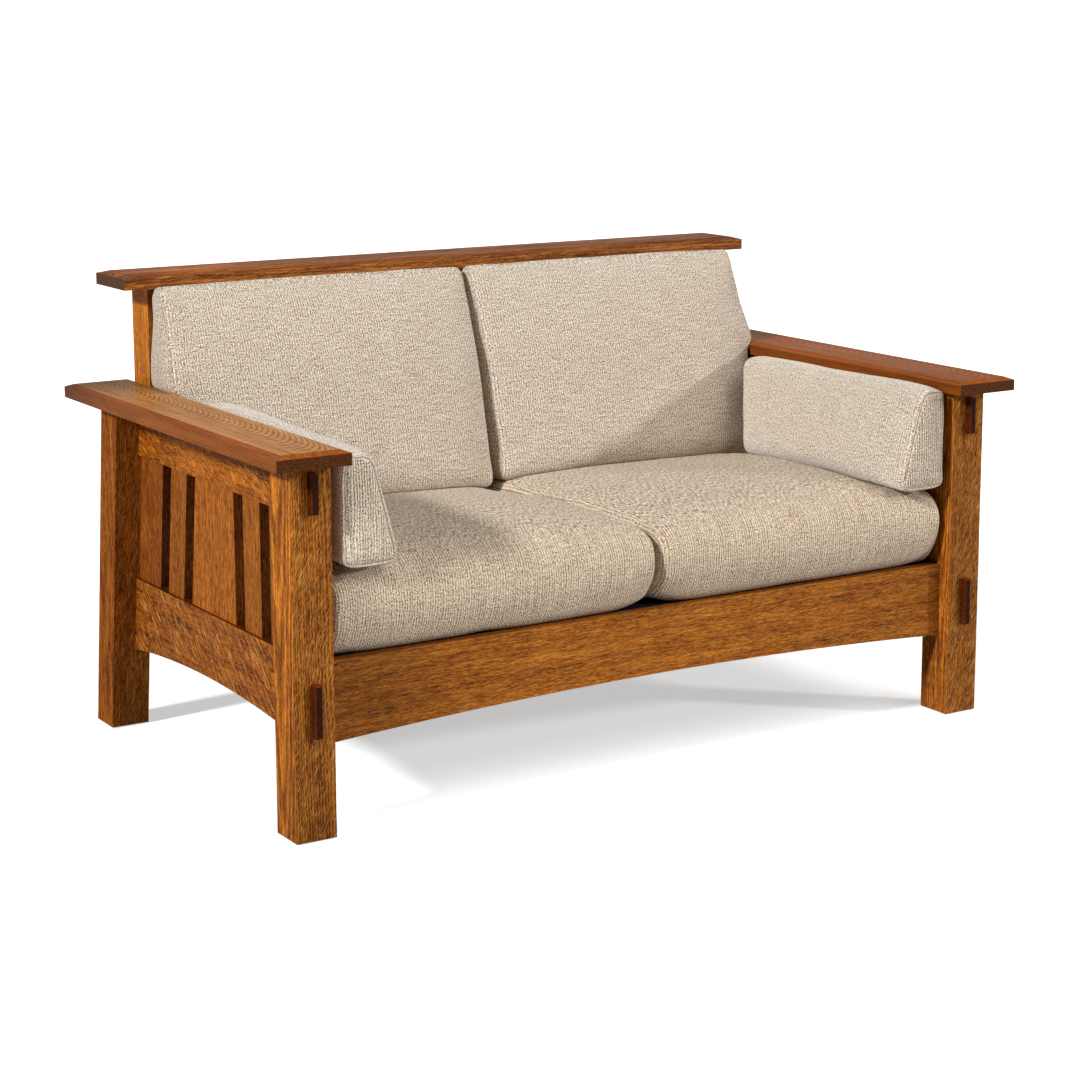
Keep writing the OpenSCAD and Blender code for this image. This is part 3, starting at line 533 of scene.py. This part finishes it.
class Cushion:
    """A sewn box cushion: one panel wrapped round a profile, and a panel let into each end.
    end_pts and mid_pts are the profile at the ends and in the middle, from its first corner, in the plane across the sweep.
    corners: the four points of the profile where the end panels have their corners. edge: how round the wrap turns over to the end panel, at a profile point."""

    def __init__(self, name, node, body, end_pts, mid_pts, corners, lo, hi, place, nb, nh, step=0.011, bulge=0.007, edge=None, crown=2.6, seed=1, ear=0.003, swap=False, groove=1.0):
        self.name, self.node, self.body, self.seed = name, node, body, seed
        count = 2 * (nb + nh)
        e_loop, e_run = loop_from(end_pts, corners, nb, nh)
        m_loop, _ = loop_from(mid_pts, corners, nb, nh)
        n_in = inward(e_loop)
        radius = np.array([edge(*q) for q in e_loop])
        lo_s, hi_s = lo + bulge, hi - bulge                       # the seams lie a little inside the ends
        near = [0.0, 0.0028, 0.0056, 0.0090, 0.0135, 0.0200, 0.0290]
        inner = np.linspace(lo_s + 0.0290, hi_s - 0.0290, int(round((hi_s - lo_s - 0.058) / step)) + 1)
        # each end: the panel's first ring, the seam in its valley, the turned-over edge of the wrap, and so on inwards
        stations = [lo_s - 0.0002, lo_s + 0.0034] + [lo_s + d for d in near] + list(inner[1:-1]) + [hi_s - d for d in near[::-1]] + [hi_s - 0.0034, hi_s + 0.0002]
        along = np.array(stations)
        along[0], along[1], along[-2], along[-1] = lo_s - 0.006, lo_s - 0.003, hi_s + 0.003, hi_s + 0.006
        last = len(stations) - 1
        corner_at = np.array([0, nb, nb + nh, 2 * nb + nh])
        gap = np.abs(np.arange(count)[:, None] - corner_at[None, :])
        gap = np.minimum(gap, count - gap)
        seg = np.diff(e_run).mean()
        ears = np.exp(-((gap.min(1) * seg) / 0.022) ** 2) * ear
        verts, rows = [], []
        mid, half = (lo_s + hi_s) / 2, (hi_s - lo_s) / 2
        for k_row, s in enumerate(stations):
            w = max(0.0, 1 - abs((s - mid) / half) ** crown)
            loop = e_loop * (1 - w) + m_loop * w
            d = min(s - lo_s, hi_s - s)
            from_end = min(k_row, last - k_row)
            k = np.clip(d / radius, 0, 1) if from_end > 1 else np.zeros(count)
            inset = radius * (1 - np.sqrt(1 - (1 - k) ** 2))
            inset = inset * 0.75 + groove * (0.0042 if from_end == 0 else 0.0016 if from_end == 1 else 0.0)
            loop = loop + n_in * inset[:, None]
            out = ears * max(0.0, 1 - d / 0.012) * (-1 if s < mid else 1)
            rows.append(len(verts))
            verts += [(s + out[i], *q) for i, q in enumerate(loop)]
        faces, fuv = [], []
        for a, b in zip(range(len(rows) - 1), range(1, len(rows))):
            for i in range(count):
                j = (i + 1) % count
                faces.append((rows[a] + i, rows[a] + j, rows[b] + j, rows[b] + i))
                fuv.append(((along[a], e_run[i]), (along[a], e_run[i + 1]), (along[b], e_run[i + 1]), (along[b], e_run[i])))
        self.wrap_faces = len(faces)
        # end panels, as patches between the four sides of the seam
        def rim(i, j):
            if j == 0:
                return i
            if i == nb:
                return nb + j
            if j == nh:
                return nb + nh + (nb - i)
            return (2 * nb + nh + (nh - j)) % count
        for row, sign in ((rows[0], -1), (rows[-1], 1)):
            P = np.array(verts[row:row + count])
            grid = {}
            for i in range(nb + 1):
                for j in range(nh + 1):
                    if i in (0, nb) or j in (0, nh):
                        grid[i, j] = row + rim(i, j)
                        continue
                    s, r = i / nb, j / nh
                    q = ((1 - r) * P[rim(i, 0)] + r * P[rim(i, nh)] + (1 - s) * P[rim(0, j)] + s * P[rim(nb, j)]
                         - ((1 - s) * (1 - r) * P[0] + s * (1 - r) * P[nb] + s * r * P[nb + nh] + (1 - s) * r * P[2 * nb + nh]))
                    puff = (1 - abs(2 * s - 1) ** 3.0) * (1 - abs(2 * r - 1) ** 3.0)
                    q = q + np.array([sign * (0.0012 + (bulge - 0.0012) * puff), 0, 0])
                    grid[i, j] = len(verts)
                    verts.append(tuple(q))
            for i in range(nb):
                for j in range(nh):
                    f = (grid[i, j], grid[i + 1, j], grid[i + 1, j + 1], grid[i, j + 1])
                    faces.append(f if sign < 0 else f[::-1])
                    fuv.append(tuple((verts[k][2], verts[k][1]) if swap else (verts[k][1], verts[k][2]) for k in faces[-1]))
        self.faces, self.fuv, self.rows, self.count = faces, fuv, rows, count
        self.seams = [list(range(rows[1], rows[1] + count)), list(range(rows[-2], rows[-2] + count))]
        self.held = [list(range(rows[r], rows[r] + count)) for r in (0, 1, 2, -3, -2, -1)]
        self.co = place(np.array(verts, float))

    def build(self):
        me = bpy.data.meshes.new(self.name)
        me.from_pydata([tuple(c) for c in self.co], [], self.faces)
        layer = me.uv_layers.new(name="weave")
        layer.data.foreach_set("uv", np.array([c for f in self.fuv for c in f], np.float32).ravel())
        seam = np.zeros(len(self.co), np.float32)
        for row in self.seams:
            seam[row] = 1.0
        me.attributes.new("seam", "FLOAT", "POINT").data.foreach_set("value", seam)
        me.update()
        bm = bmesh.new()
        bm.from_mesh(me)
        bmesh.ops.recalc_face_normals(bm, faces=bm.faces)
        bm.to_mesh(me)
        bm.free()
        for p in me.polygons:
            p.use_smooth = True
        self.obj = bpy.data.objects.new(self.name, me)
        scene.collection.objects.link(self.obj)

    def swell(self, pressure=3.0, cap=0.012, frames=20):
        """Cloth under air pressure, as a stuffed cover takes its shape; each point may move only so far."""
        o = self.obj
        pins = o.vertex_groups.new(name="seam")
        for row in self.seams:
            pins.add(row, 0.8, "REPLACE")
        c = o.modifiers.new("cloth", "CLOTH")
        s = c.settings
        s.quality = 5
        s.mass = 0.3
        s.tension_stiffness = s.compression_stiffness = 20
        s.shear_stiffness = 8
        s.bending_stiffness = 3
        s.use_pressure = True
        s.uniform_pressure_force = pressure
        s.vertex_group_mass = "seam"
        s.pin_stiffness = 0.8
        s.effector_weights.gravity = 0
        c.collision_settings.use_collision = False
        c.collision_settings.use_self_collision = False
        c.point_cache.frame_start, c.point_cache.frame_end = 1, frames
        scene.frame_start, scene.frame_end = 1, frames
        for f in range(1, frames + 1):
            scene.frame_set(f)
        ev = o.evaluated_get(bpy.context.evaluated_depsgraph_get())
        after = np.array([v.co for v in ev.data.vertices])
        o.modifiers.remove(c)
        o.vertex_groups.clear()
        d = after - self.co
        ln = np.linalg.norm(d, axis=1)
        d *= (cap * np.tanh(ln / cap) / np.maximum(ln, 1e-9))[:, None]
        print("swell", self.name, "mean mm", round(float(ln.mean() * 1000), 2), "max", round(float(ln.max() * 1000), 2))
        self.co = self.co + d
        self.write()
        scene.frame_set(1)

    def write(self):
        self.obj.data.vertices.foreach_set("co", self.co.astype(np.float32).ravel())
        self.obj.data.update()

    def relax(self, amount=0.3, times=2):
        """Evens out the surface, leaving the seams where they are."""
        e = np.array([ed.vertices[:] for ed in self.obj.data.edges])
        keep = np.zeros(len(self.co), bool)
        for row in self.held:
            keep[row] = True
        for _ in range(times):
            acc, cnt = np.zeros_like(self.co), np.zeros(len(self.co))
            for a, b in ((0, 1), (1, 0)):
                np.add.at(acc, e[:, a], self.co[e[:, b]])
                np.add.at(cnt, e[:, a], 1)
            mv = (acc / np.maximum(cnt, 1)[:, None] - self.co) * amount
            mv[keep] = 0
            self.co = self.co + mv

    def ripple(self, size=0.0012, scale=9.0):
        """Slight unevenness of the filling."""
        self.write()
        shift = Vector((self.seed * 3.1, self.seed * 1.7, self.seed * 0.9))
        for i, v in enumerate(self.obj.data.vertices):
            k = noise.noise(Vector(v.co) * scale + shift) * size + noise.noise(Vector(v.co) * scale * 3.2 - shift) * size * 0.35
            self.co[i] += np.array(v.normal) * k

    def smooth(self):
        """One level of subdivision, kept as the mesh, so that the limits below hold on the surface that shows."""
        self.write()
        o = self.obj
        sub = o.modifiers.new("smooth", "SUBSURF")
        sub.levels = sub.render_levels = 1
        dg = bpy.context.evaluated_depsgraph_get()
        fine = bpy.data.meshes.new_from_object(o.evaluated_get(dg), preserve_all_data_layers=True, depsgraph=dg)
        o.modifiers.remove(sub)
        o.data = fine
        for q in fine.polygons:
            q.use_smooth = True
        self.co = np.array([v.co for v in fine.vertices])

    def finish(self, mats, fill=0.8):
        self.write()
        o = self.obj
        for mat in mats:
            o.data.materials.append(mat)
        if len(mats) > 1:
            wrap = self.wrap_faces * 4
            for q in o.data.polygons:
                q.material_index = 1 if q.index >= wrap else 0
        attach(o, self.body)
        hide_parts(self.node)


Y0 = -0.4087   # front faces of the front posts


def ramp01(v, a, b):
    k = np.clip((v - a) / (b - a), 0, 1)
    return k * k * (3 - 2 * k)


def sink(side, x):
    """How much lower the seat's back edge lies than its pattern: the left one more, most of it beside the middle."""
    return 0.0085 + 0.0030 * (1 - ramp01(x, 0.05, 0.40)) if side < 0 else 0.0030 + 0.0045 * ramp01(x, 0.08, 0.50) + 0.0070 * ramp01(x, 0.51, 0.58)


def seat(side):
    # (distance behind the posts' front, height) in millimetres, from the lower back corner
    end = [(716, 291), (500, 291), (300, 291), (110, 291), (57, 293), (40, 305), (25, 327), (15, 350), (10, 378), (13, 401), (25, 419), (48, 430), (90, 435),
           (200, 438), (330, 437), (460, 433), (600, 427), (705, 419), (718, 404), (720, 350), (719, 303)]
    mid = [(716, 291), (500, 291), (300, 291), (110, 291), (50, 292), (33, 301), (18, 322), (9, 350), (7, 378), (11, 404), (24, 428), (48, 445), (90, 455),
           (200, 462), (330, 460), (460, 450), (600, 434), (705, 422), (719, 406), (721, 350), (720, 303)]
    to = lambda pts: [(Y0 + a / 1000, b / 1000) for a, b in pts]

    def place(v):
        # the lower front corner beside the middle rounds upwards
        lift = np.clip(1 - v[:, 0] / 0.085, 0, 1) ** 2 * (1 - ramp01(v[:, 1], -0.36, -0.29)) * (1 - ramp01(v[:, 2], 0.30, 0.36))
        v[:, 2] += 0.013 * lift
        v[:, 2] -= sink(side, v[:, 0]) * ramp01(v[:, 1], -0.16, 0.12) * ramp01(v[:, 2], 0.34, 0.42)
        # in front of the back cushion it swells again beside the arm
        v[:, 2] += 0.0110 * ramp01(v[:, 0], 0.46, 0.54) * ramp01(v[:, 1], -0.16, 0.03) * (1 - ramp01(v[:, 1], 0.07, 0.13)) * ramp01(v[:, 2], 0.34, 0.42)
        near = np.clip(1 - v[:, 0] / 0.06, 0, 1) ** 2
        if side < 0:
            v[:, 2] -= 0.004 * near * ramp01(v[:, 1], -0.34, -0.10) * ramp01(v[:, 2], 0.36, 0.42)
        v[:, 0] += (0.0018 if side < 0 else -0.0030) * np.clip(1 - v[:, 0] / 0.30, 0, 1)
        v[:, 0] *= side
        return v
    tag = "left" if side < 0 else "right"
    return Cushion(f"seat_{tag}", f"seat_cushion_{tag}", f"seat_{tag}", to(end), to(mid), (0, 4, 11, 17), 0.0012, 0.6455, place, 60, 15,
                   edge=lambda y, z: 0.009 if side < 0 else 0.010 + 0.006 * float(ramp01(z, 0.38, 0.42)), seed=3 if side < 0 else 4, crown=2.8, ear=0.0015, swap=True, bulge=0.0045)


def back(side):
    end = [(712, 432), (640, 428), (590, 426), (566, 430), (561, 446), (569, 480), (580, 520), (598, 590), (620, 670), (642, 730), (662, 780), (676, 806), (687, 823), (701, 830), (713, 827),
           (719, 812), (719.5, 770), (719.5, 650), (719.5, 540), (719, 450)]
    mid = [(712, 430), (640, 426), (580, 423), (554, 427), (545, 444), (549, 480), (559, 522), (576, 590), (599, 670), (622, 730), (646, 780), (664, 808), (680, 826), (697, 834), (712, 831),
           (719, 814), (719.5, 770), (719.5, 650), (719.5, 540), (719, 450)]
    to = lambda pts: [(Y0 + a / 1000, b / 1000) for a, b in pts]

    def place(v):
        # the gap in the middle opens downwards, and below the arm caps the outer side is pressed in
        inner = np.clip(1 - v[:, 0] / 0.09, 0, 1) ** 2
        outer = np.clip(1 - (0.648 - v[:, 0]) / 0.10, 0, 1) ** 2
        v[:, 0] += inner * 0.0040 * (1 - ramp01(v[:, 2], 0.44, 0.78))
        v[:, 0] -= outer * 0.0160 * (1 - ramp01(v[:, 2], 0.634, 0.648))
        # just above the cap the left one bulges, and the right one stands away from it higher up
        bulge = 0.0060 - 0.0115 * ramp01(v[:, 2], 0.67, 0.80) if side < 0 else 0.0020 - 0.0120 * ramp01(v[:, 2], 0.65, 0.74)
        v[:, 0] += outer * bulge * ramp01(v[:, 2], 0.634, 0.650)
        # the top edge stands up in front of the crest cap
        v[:, 2] += 0.0045 * ramp01(v[:, 2], 0.770, 0.812)
        v[:, 2] -= sink(side, v[:, 0]) * (1 - ramp01(v[:, 2], 0.43, 0.53))
        v[:, 0] *= side
        return v
    tag = "left" if side < 0 else "right"
    return Cushion(f"back_{tag}", f"back_cushion_{tag}", f"back_{tag}", to(end), to(mid), (0, 4, 12, 15), 0.0014, 0.6480, place, 14, 38,
                   edge=lambda y, z: 0.0045 + 0.0065 * float(ramp01(-y, -0.300, -0.262)), seed=5 if side < 0 else 6, crown=2.6, ear=0.0025, bulge=0.006, groove=0.45)


def arm(side):
    # profile in X and Z, swept along Y
    end = [(626, 453), (600, 445), (558, 445), (533, 449), (528, 463), (537, 505), (551, 560), (563, 606), (570, 622), (584, 632), (608, 632), (623, 626), (627.5, 600), (627.5, 540), (627.5, 480)]
    mid = [(626, 452), (600, 445), (556, 445), (531, 449), (522, 464), (530, 505), (544, 560), (558, 606), (568, 630), (586, 643), (610, 644), (623, 636), (628, 602), (628, 540), (628, 480)]
    to = lambda pts: [(a / 1000, b / 1000) for a, b in pts]

    def place(v):
        out = np.stack([v[:, 1], v[:, 0], v[:, 2]], 1)            # (along, across, up) to (x, y, z)
        rear, level = ramp01(out[:, 1], -0.06, 0.136), np.clip((out[:, 2] - 0.45) / 0.18, -0.05, 1.1)
        slim = np.clip((0.628 - out[:, 0]) / 0.09, 0, 1)
        out[:, 1] += rear * (-0.038 + 0.050 * level)              # the back end leans with the back cushion
        out[:, 0] += ramp01(out[:, 1], -0.30, 0.12) * slim * (0.008 - 0.012 * level)                     # and stands more upright there
        if side > 0:
            out[:, 2] -= 0.0105 * ramp01(out[:, 1], -0.38, -0.05) * ramp01(out[:, 2], 0.56, 0.62)        # this one is packed a little lower
        out[:, 2] -= (0.0028 + 0.0060 * ramp01(out[:, 1], -0.20, 0.10)) * (1 - ramp01(out[:, 2], 0.45, 0.50))
        out[:, 2] += 0.006 * ramp01(out[:, 1], -0.25, 0.10) * np.clip((out[:, 2] - 0.55) / 0.07, 0, 1)
        out[:, 0] *= side
        return out
    tag = "left" if side < 0 else "right"
    return Cushion(f"arm_{tag}", f"arm_cushion_{tag}", f"arm_{tag}", to(end), to(mid), (0, 3, 8, 11), -0.4140, 0.1365, place, 8, 17, step=0.0105, bulge=0.006,
                   edge=lambda x, z: 0.009 - 0.0050 * float(ramp01(x, 0.600, 0.622)), crown=3.0, seed=7 if side < 0 else 8, ear=0.003)


CUSHIONS = {}
for make in (seat, back, arm):
    for side in (-1, 1):
        c = make(side)
        c.build()
        c.swell(pressure=3.0, cap=0.005)
        c.relax()
        c.ripple()
        c.smooth()
        CUSHIONS[c.name] = c


def floor_under_arm(y):
    """Height of the underside of an arm cushion: level at the front, and falling towards the back."""
    return 0.4438 - 0.0055 * ramp01(y, -0.20, 0.10)


def soft_max(v, low, width):
    return low + width * np.log1p(np.exp((v - low) / width))


# limits that the frame and the neighbours set
for side in (-1, 1):
    tag = "left" if side < 0 else "right"
    s, b, a = (CUSHIONS[f"{k}_{tag}"] for k in ("seat", "back", "arm"))
    x = s.co[:, 0] * side
    s.co[:, 0] = side * np.clip(x, 0.0003 - side * 0.0025, 0.6475)       # the two meet a little left of the middle
    s.co[:, 2] = np.maximum(s.co[:, 2], 0.2905)
    s.co[:, 1] = np.minimum(s.co[:, 1], 0.3135)
    # the arm cushion presses the seat down along its outer edge
    under = ramp01(x, 0.490, 0.545)
    top = s.co[:, 2] > 0.37
    lid = floor_under_arm(s.co[:, 1]) - 0.0004
    pressed = np.minimum(s.co[:, 2], lid)
    s.co[top, 2] = (s.co[:, 2] * (1 - under) + pressed * under)[top]
    s.write()
    # back cushion: beside the arm cap, on the seat, against the back
    x = b.co[:, 0] * side
    room = np.interp(b.co[:, 2], [0.6405, 0.6425, 0.6478, 0.6495, 0.6560], [0.6292, 0.6312, 0.6470, 0.6510, 0.6560])   # it lies on the cap's bevel
    b.co[:, 0] = side * np.clip(x, 0.0012, room)
    b.co[:, 1] = np.minimum(b.co[:, 1], 0.3135)
    # arm cushion: beside the arm cap, on the seat, in front of the back cushion
    x = a.co[:, 0] * side
    a.co[:, 0] = side * np.minimum(x, 0.6288)
    a.co[:, 2] = np.maximum(a.co[:, 2], floor_under_arm(a.co[:, 1]) + 0.0004)
    tree = BVHTree.FromPolygons([v.co[:] for v in s.obj.data.vertices], [p.vertices[:] for p in s.obj.data.polygons])
    for i, p in enumerate(b.co):
        if p[2] < 0.50:
            hit = tree.ray_cast(Vector((p[0], min(p[1], 0.30), 0.60)), Vector((0, 0, -1)))
            if hit[0] is not None:
                b.co[i, 2] = float(soft_max(p[2], hit[0].z + 0.0006, 0.0012))

for name, c in CUSHIONS.items():
    if name.startswith("arm"):
        # painted light and shade on the arm cushions' end panels: the left one lighter and the right one darker than
        # the cloth, for how the lamps fall on them
        front = (1.10, 1.09, 1.06) if name == "arm_left" else (0.92, 0.90, 0.88)
        mats = [tweed("tweed_" + name, c.seed, 1.0, 0.5, (1.10, 1.09, 1.07), 0.5, pull=0.3), tweed("tweed_end_" + name, c.seed + 20, 1.5, 1.1, front)]
    elif name.startswith("seat"):
        mats = [tweed("tweed_" + name, c.seed, 1.2, 1.0, (0.995, 0.945, 0.875))]
    else:
        mats = [tweed("tweed_" + name, c.seed, 0.9, 0.2, (1.02, 1.02, 1.03), seam_shade=0.15)]
    c.finish(mats, fill=0.85 if name.startswith("seat") else 0.8)


# ------------------------------------------------------------------ deck cloth
def deck():
    lo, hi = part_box("deck_cloth")
    nx, ny = 130, 74
    z = (lo.z + hi.z) / 2
    vs = []
    for j in range(ny + 1):
        for i in range(nx + 1):
            x = lo.x + (hi.x - lo.x) * i / nx
            y = lo.y + (hi.y - lo.y) * j / ny
            vs.append((x, y, z + 0.0002 * noise.noise(Vector((x * 30, y * 30, 0)))))
    fs = [(j * (nx + 1) + i, j * (nx + 1) + i + 1, (j + 1) * (nx + 1) + i + 1, (j + 1) * (nx + 1) + i) for j in range(ny) for i in range(nx)]
    me = bpy.data.meshes.new("deck_sheet")
    me.from_pydata(vs, [], fs)
    for p in me.polygons:
        p.use_smooth = True
    o = bpy.data.objects.new("deck_sheet", me)
    scene.collection.objects.link(o)
    th = o.modifiers.new("thickness", "SOLIDIFY")
    th.thickness = 0.0006
    th.offset = 0
    mat, t, bsdf = new_material("black_deck_cloth")
    tc = t.add("ShaderNodeTexCoord")
    s = t.split(tc.outputs["Object"])
    wa = t.math("SINE", t.math("MULTIPLY", s[0], 2 * math.pi / 0.0014))
    wb = t.math("SINE", t.math("MULTIPLY", s[1], 2 * math.pi / 0.0014))
    w = t.math("MULTIPLY", wa, wb)
    n = t.noise(tc.outputs["Object"], 200.0, 3.0)
    t.put(bsdf.inputs["Base Color"], t.ramp(t.math("MULTIPLY_ADD", w, 0.2, n), [(0.2, (0.006, 0.006, 0.0065)), (0.9, (0.022, 0.022, 0.023))]))
    bsdf.inputs["Roughness"].default_value = 0.9
    bsdf.inputs["Specular IOR Level"].default_value = 0.1
    bump(t, bsdf, w, 0.0002, 0.6)
    me.materials.append(mat)
    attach(o, "frame")
    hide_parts("deck_cloth")


deck()

# ------------------------------------------------------------------ floor and light
me = bpy.data.meshes.new("floor")
me.from_pydata([(-60, -60, 0), (60, -60, 0), (60, 60, 0), (-60, 60, 0)], [], [(0, 1, 2, 3)])
floor = bpy.data.objects.new("floor", me)
scene.collection.objects.link(floor)
mat, t, bsdf = new_material("pale_floor")
seen = t.add("ShaderNodeLightPath").outputs["Is Camera Ray"]
t.put(bsdf.inputs["Base Color"], t.mix(seen, (0.62, 0.60, 0.57), (0.95, 0.95, 0.95)))   # what it throws back at the object is dimmer
bsdf.inputs["Roughness"].default_value = 0.9
bsdf.inputs["Specular IOR Level"].default_value = 0.1
t.put(bsdf.inputs["Emission Color"], t.mix(seen, (0.0, 0.0, 0.0), (1.0, 1.0, 1.0)))     # and it stays pale in the shade under the seat
bsdf.inputs["Emission Strength"].default_value = 0.5
me.materials.append(mat)

# A white cyclorama seen directly, and dimmer room light for everything else: an even share, and one from behind on the right.
WORLD = (0.0, 0.534)
# name, compass direction to the light in degrees (0 = right, 90 = behind, 180 = left, 270 = front), elevation, distance (0 = far away), size, strength, colour
LIGHTS = [
    ("window", 190, 30, 0, 6, 3.42, (0.955, 0.975, 1.0)),
    ("front", 300, 50, 0, 40, 1.62, (1.0, 0.985, 0.945)),
    ("right", 316, 17.5, 0, 5, 1.585, (0.925, 0.946, 1.0)),
]

world = bpy.data.worlds.new("studio")
scene.world = world
world.use_nodes = True
w = Tree(world.node_tree)
ray = w.split(w.add("ShaderNodeTexCoord").outputs["Generated"])
behind = w.math("POWER", w.math("MAXIMUM", w.math("MULTIPLY_ADD", ray[0], 0.57, w.math("MULTIPLY", ray[1], 0.82)), 0.0), 2.0)
room = w.math("MULTIPLY_ADD", behind, WORLD[1], WORLD[0])
seen = w.add("ShaderNodeLightPath").outputs["Is Camera Ray"]
back = w.n["Background"]
w.put(back.inputs[1], w.math("MAXIMUM", room, seen))
w.put(back.inputs[0], w.mix(seen, (1.0, 0.96, 0.88), (1.0, 1.0, 1.0)))

TARGET = Vector((0.0, 0.0, 0.45))
for name, turn, rise, far, size, power, colour in LIGHTS:
    d = Vector((math.cos(math.radians(turn)) * math.cos(math.radians(rise)), math.sin(math.radians(turn)) * math.cos(math.radians(rise)), math.sin(math.radians(rise))))
    if far:
        lamp = bpy.data.lights.new(name, "AREA")
        lamp.shape = "SQUARE"
        lamp.size = size
    else:
        lamp = bpy.data.lights.new(name, "SUN")
        lamp.angle = math.radians(size)
    lamp.energy = power
    lamp.color = colour
    o = bpy.data.objects.new(name, lamp)
    o.location = TARGET + d * (far or 8.0)
    o.rotation_euler = (-d).to_track_quat("-Z", "Y").to_euler()
    scene.collection.objects.link(o)

scene.view_settings.view_transform = "Standard"
scene.view_settings.look = "None"
scene.view_settings.exposure = 0.0

bpy.context.view_layer.update()
